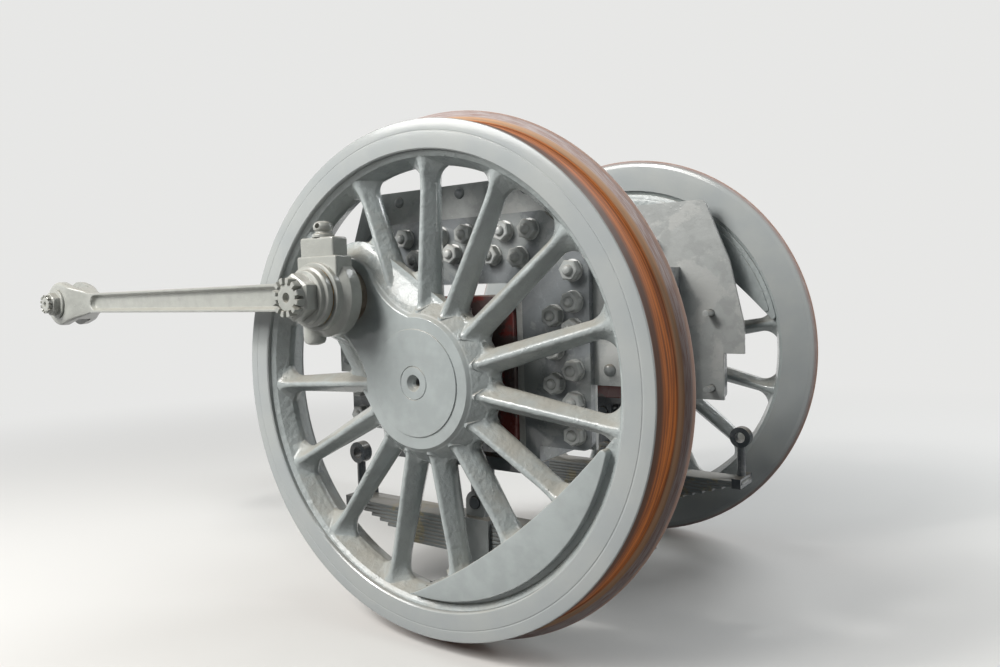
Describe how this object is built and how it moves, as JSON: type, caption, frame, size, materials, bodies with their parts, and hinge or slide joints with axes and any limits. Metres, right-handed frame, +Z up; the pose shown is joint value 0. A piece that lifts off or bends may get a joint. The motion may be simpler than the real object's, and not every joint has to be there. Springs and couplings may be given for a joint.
{
  "type": "steam locomotive coupled wheelset",
  "caption": "Spoked, flanged wheels on a cranked-pin axle, with axleboxes in their horn blocks, underhung leaf springs and fluted side rods that couple to the next axle.",
  "frame": {"origin": "where the axle line crosses the left horn block's seat on the outer face of the frame, in the middle of its stud pattern", "axes": "+Z up, Y along the axle from the left side to the right, -X the way the rods run to the next axle"},
  "size_m": [2.2315, 1.65, 1.317],
  "materials": {
    "wheel_paint": "gloss",
    "tyre_steel": "satin",
    "rod_paint": "gloss",
    "frame_paint": "gloss",
    "bearing_brass": "satin",
    "spring_steel": "satin",
    "axle_steel": "satin",
    "box_paint": "gloss"
  },
  "bodies": {
    "guides": {"hornblock_left": "frame_paint", "hornblock_right": "frame_paint", "doubler_left": "frame_paint", "doubler_right": "frame_paint", "frame_studs_left": "frame_paint", "frame_studs_right": "frame_paint", "horn_liners_left": "frame_paint", "horn_liners_right": "frame_paint", "axlebox_left": "box_paint", "axlebox_right": "box_paint", "axlebox_brass_left": "bearing_brass", "axlebox_brass_right": "bearing_brass", "axlebox_keep_left": "box_paint", "axlebox_keep_right": "box_paint", "hornstay_left": "frame_paint", "hornstay_right": "frame_paint", "saddle_left": "frame_paint", "saddle_right": "frame_paint", "spring_link_left": "frame_paint", "spring_link_right": "frame_paint", "leaf_spring_left": "spring_steel", "leaf_spring_right": "spring_steel", "spring_buckle_left": "spring_steel", "spring_buckle_right": "spring_steel", "spring_hangers_left": "frame_paint", "spring_hangers_right": "frame_paint"},
    "wheelset": {"axle": "axle_steel", "wheel_centre_left": "wheel_paint", "wheel_centre_right": "wheel_paint", "tyre_left": "tyre_steel", "tyre_right": "tyre_steel", "crank_pin_left": "rod_paint", "crank_pin_right": "rod_paint", "crank_nut_left": "rod_paint", "crank_nut_right": "rod_paint"},
    "left_rod": {"coupling_rod_left": "rod_paint", "rod_bush_left": "bearing_brass", "oil_cap_left": "rod_paint", "knuckle_pin_left": "rod_paint", "knuckle_nut_left": "rod_paint"},
    "right_rod": {"coupling_rod_right": "rod_paint", "rod_bush_right": "bearing_brass", "oil_cap_right": "rod_paint", "knuckle_pin_right": "rod_paint", "knuckle_nut_right": "rod_paint"}
  },
  "joints": [
    {"name": "axle_turn", "type": "hinge", "parent": "guides", "child": "wheelset", "pos_m": [0, 0.425, 0], "axis": [0, 1, 0], "continuous": true},
    {"name": "left_rod_turn", "type": "hinge", "parent": "wheelset", "child": "left_rod", "pos_m": [-0.21754, -0.2685, 0.21378], "axis": [0, 1, 0], "continuous": true},
    {"name": "right_rod_turn", "type": "hinge", "parent": "wheelset", "child": "right_rod", "pos_m": [-0.21378, 1.1185, -0.21754], "axis": [0, 1, 0], "continuous": true}
  ],
  "couplings": [
    {"joint": "left_rod_turn", "follows": "axle_turn", "ratio": -1},
    {"joint": "right_rod_turn", "follows": "axle_turn", "ratio": -1}
  ]
}
